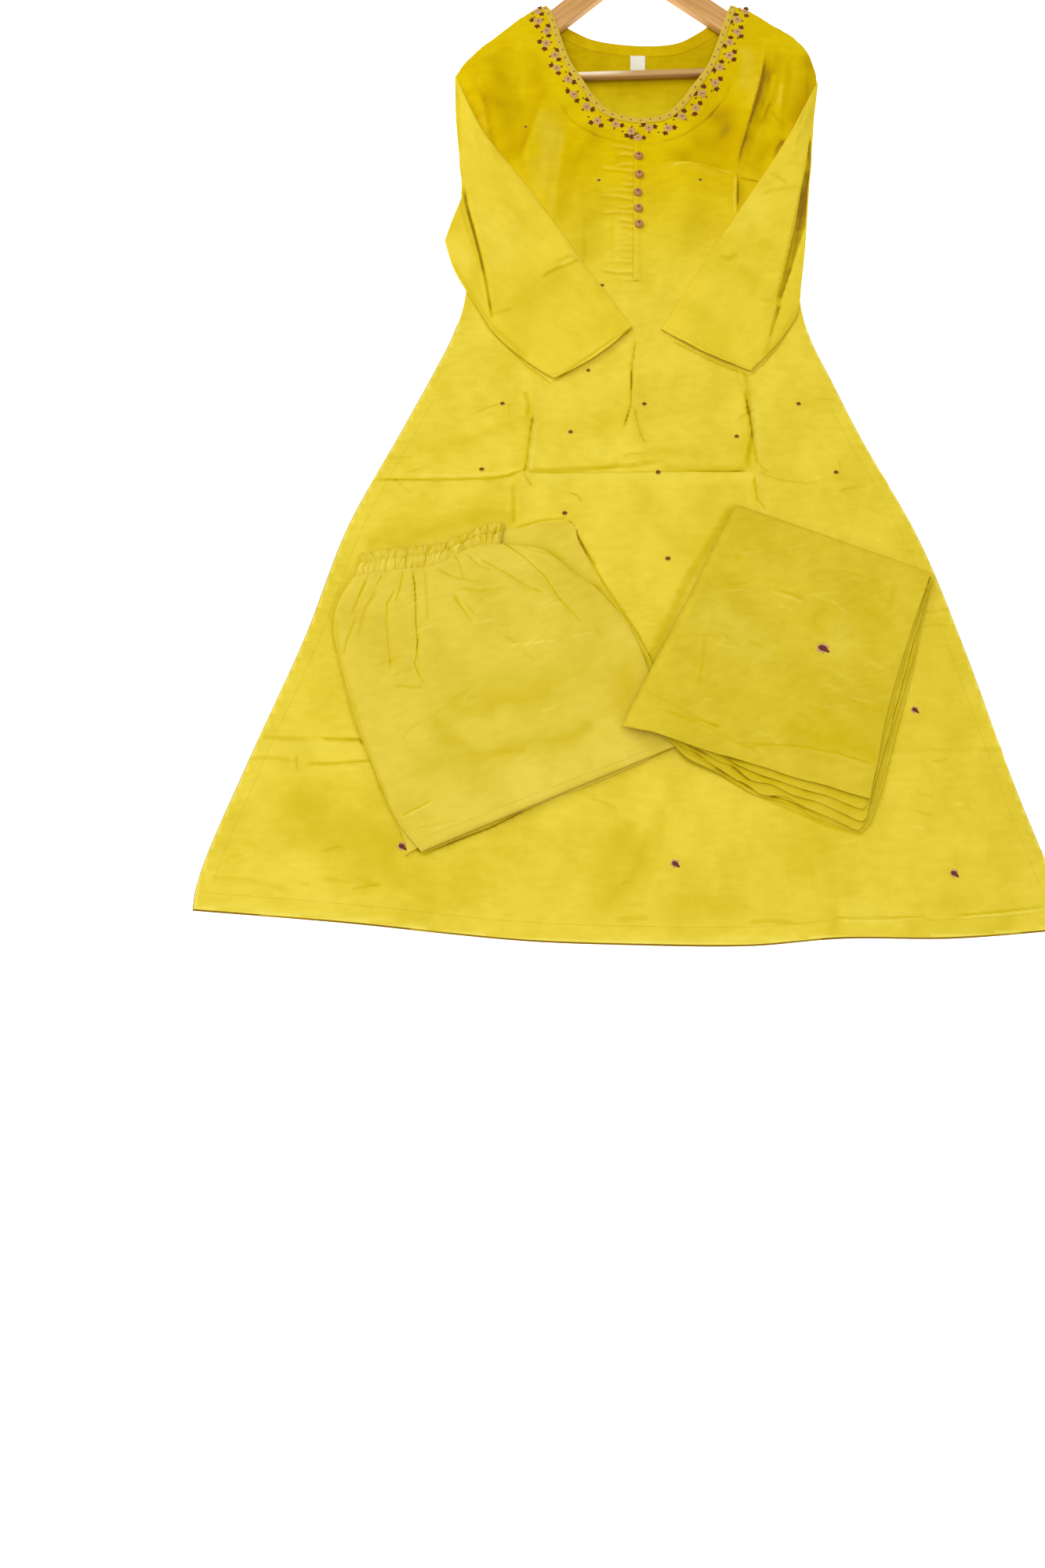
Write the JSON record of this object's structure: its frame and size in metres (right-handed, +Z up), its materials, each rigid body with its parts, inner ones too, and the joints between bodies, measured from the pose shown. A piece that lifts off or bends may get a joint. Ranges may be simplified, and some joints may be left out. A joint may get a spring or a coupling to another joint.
{
  "type": "salwar kameez suit",
  "caption": "Flared knee-length kurta on a wooden hanger, laid flat with its sleeves crossed, with folded trousers and a folded dupatta lying on its skirt",
  "frame": {"origin": "on the surface the suit lies on, under the middle of its outline", "axes": "+Z up from that surface, +Y from the hem towards the neck and the hanger's hook, +X to the viewer's right"},
  "size_m": [0.912, 1.3217, 0.0258],
  "materials": {
    "kurta_cotton": "yellow slub cotton with small embroidered sprigs, soft and matt",
    "trouser_cotton": "plain yellow slub cotton, matt",
    "dupatta_cotton": "thin yellow slub cotton, matt",
    "piping": "narrow beige-gold embroidered edge braid",
    "buttons": "small round thread-covered buttons, pinkish brown",
    "label": "bare woven label, off-white",
    "wood": "light varnished wood, satin",
    "steel": "plain bright steel wire"
  },
  "bodies": {
    "root": {"kurta_front": "kurta_cotton", "kurta_back": "kurta_cotton", "neck_piping": "piping", "neck_facing_back": "kurta_cotton", "size_label": "label", "placket": "kurta_cotton", "button_1": "buttons", "button_2": "buttons", "button_3": "buttons", "button_4": "buttons", "button_5": "buttons", "sleeve_left": "kurta_cotton", "sleeve_right": "kurta_cotton", "hanger_arms": "wood", "hanger_bar": "wood", "hanger_hook": "steel", "trouser_folds": "trouser_cotton", "trouser_front": "trouser_cotton", "trouser_waistband": "trouser_cotton", "dupatta_folds": "dupatta_cotton", "dupatta_top": "dupatta_cotton"}
  },
  "joints": []
}
